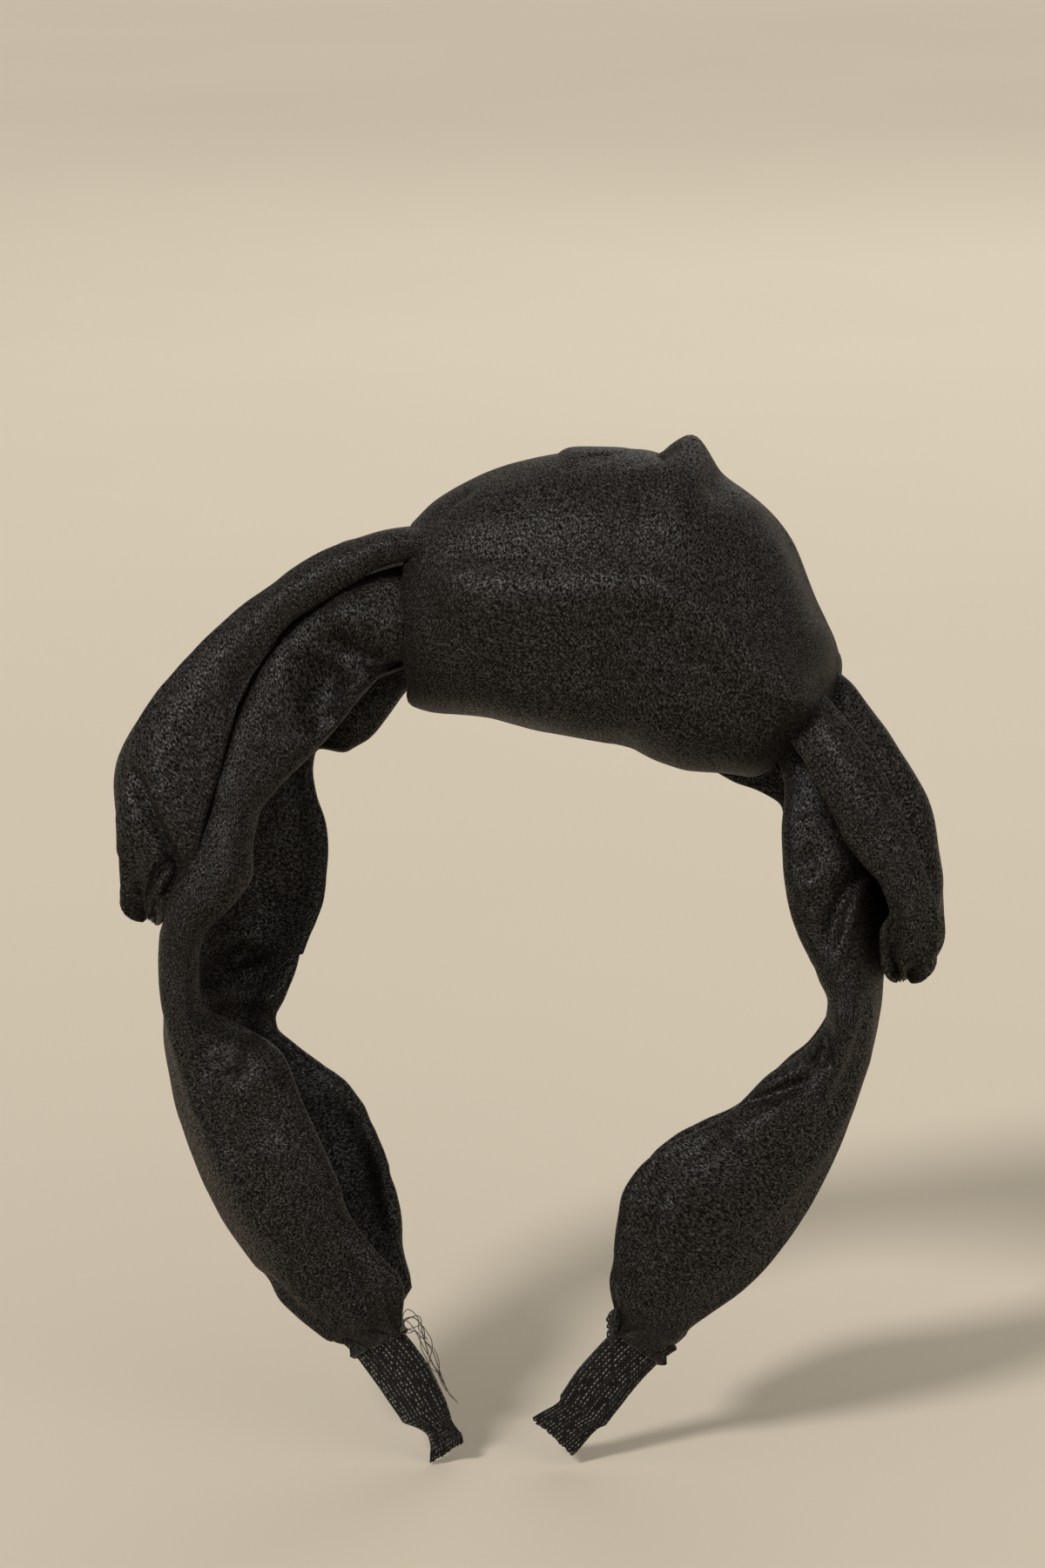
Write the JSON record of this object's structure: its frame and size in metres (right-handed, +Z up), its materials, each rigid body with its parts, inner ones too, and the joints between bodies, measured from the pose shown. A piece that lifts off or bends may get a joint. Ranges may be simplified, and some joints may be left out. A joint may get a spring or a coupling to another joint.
{
  "type": "knotted headband",
  "caption": "Wide padded fabric headband with a large puffy knot set off-centre on the crown, a springy hoop core, and ribbed knit sleeves on its tips.",
  "frame": {"origin": "the head seat: middle of the underside of the cloth at the crown, where the top of the head touches, in the hoop's mid-plane", "axes": "+Z up from the head through the crown (tips point down, -Z), +X across the hoop toward the knot's side, +Y through the hoop from its front to its back"},
  "size_m": [0.1491, 0.0564, 0.1869],
  "materials": {
    "core_plastic": "springy black plastic strip",
    "crepe_cover": "black satin-back crepe, dull side out, fine diagonal grain",
    "crepe_knot": "black satin-back crepe, dull side out, fine diagonal grain",
    "knit_elastic": "black ribbed knit elastic with bright stitch flecks",
    "thread": "black sewing thread, slightly fuzzy",
    "wadding": "polyester wadding"
  },
  "bodies": {
    "crown": {"core_band": "core_plastic", "knot_wrap": "crepe_knot", "knot_pad": "wadding"},
    "left_arm": {"cover_left": "crepe_cover", "end_sleeve_left": "knit_elastic", "binding_thread_left": "thread", "tail_left": "crepe_knot", "tack_stitches_left": "thread"},
    "right_arm": {"cover_right": "crepe_cover", "end_sleeve_right": "knit_elastic", "binding_thread_right": "thread", "tail_right": "crepe_knot", "tack_stitches_right": "thread"}
  },
  "joints": [
    {"name": "left_arm_flex", "type": "hinge", "parent": "crown", "child": "left_arm", "pos_m": [-0.0194, 0, 0.0232], "axis": [0, 1, 0], "range_deg": [0, 15], "stiffness_Nm_per_rad": 1.5, "deforming": ["core_band"]},
    {"name": "right_arm_flex", "type": "hinge", "parent": "crown", "child": "right_arm", "pos_m": [0.059, 0, -0.0015], "axis": [0, -1, 0], "range_deg": [0, 15], "stiffness_Nm_per_rad": 1.5, "deforming": ["core_band"]}
  ]
}
